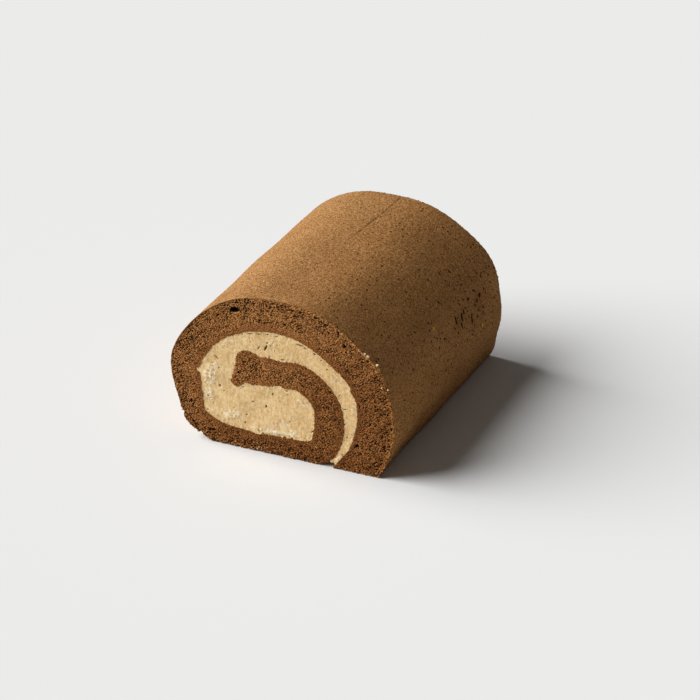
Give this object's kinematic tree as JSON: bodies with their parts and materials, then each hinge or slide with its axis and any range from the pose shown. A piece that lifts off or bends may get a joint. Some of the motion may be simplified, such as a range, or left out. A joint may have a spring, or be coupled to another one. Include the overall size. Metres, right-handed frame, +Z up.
{
  "type": "swiss roll cake",
  "caption": "Cut length of coffee sponge roll with a thick coffee cream filling, both ends cut across.",
  "frame": {"origin": "under the middle of the roll, on the plane it rests on", "axes": "+Y along the roll, away from the front cut end; +Z up; +X to the right seen from the front"},
  "size_m": [0.0952, 0.1106, 0.0667],
  "materials": {
    "sponge": "matte open crumb, fine-grained skin",
    "cream": "soft satin, smooth whipped cream"
  },
  "bodies": {
    "root": {"sponge": "sponge", "cream": "cream"}
  },
  "joints": []
}
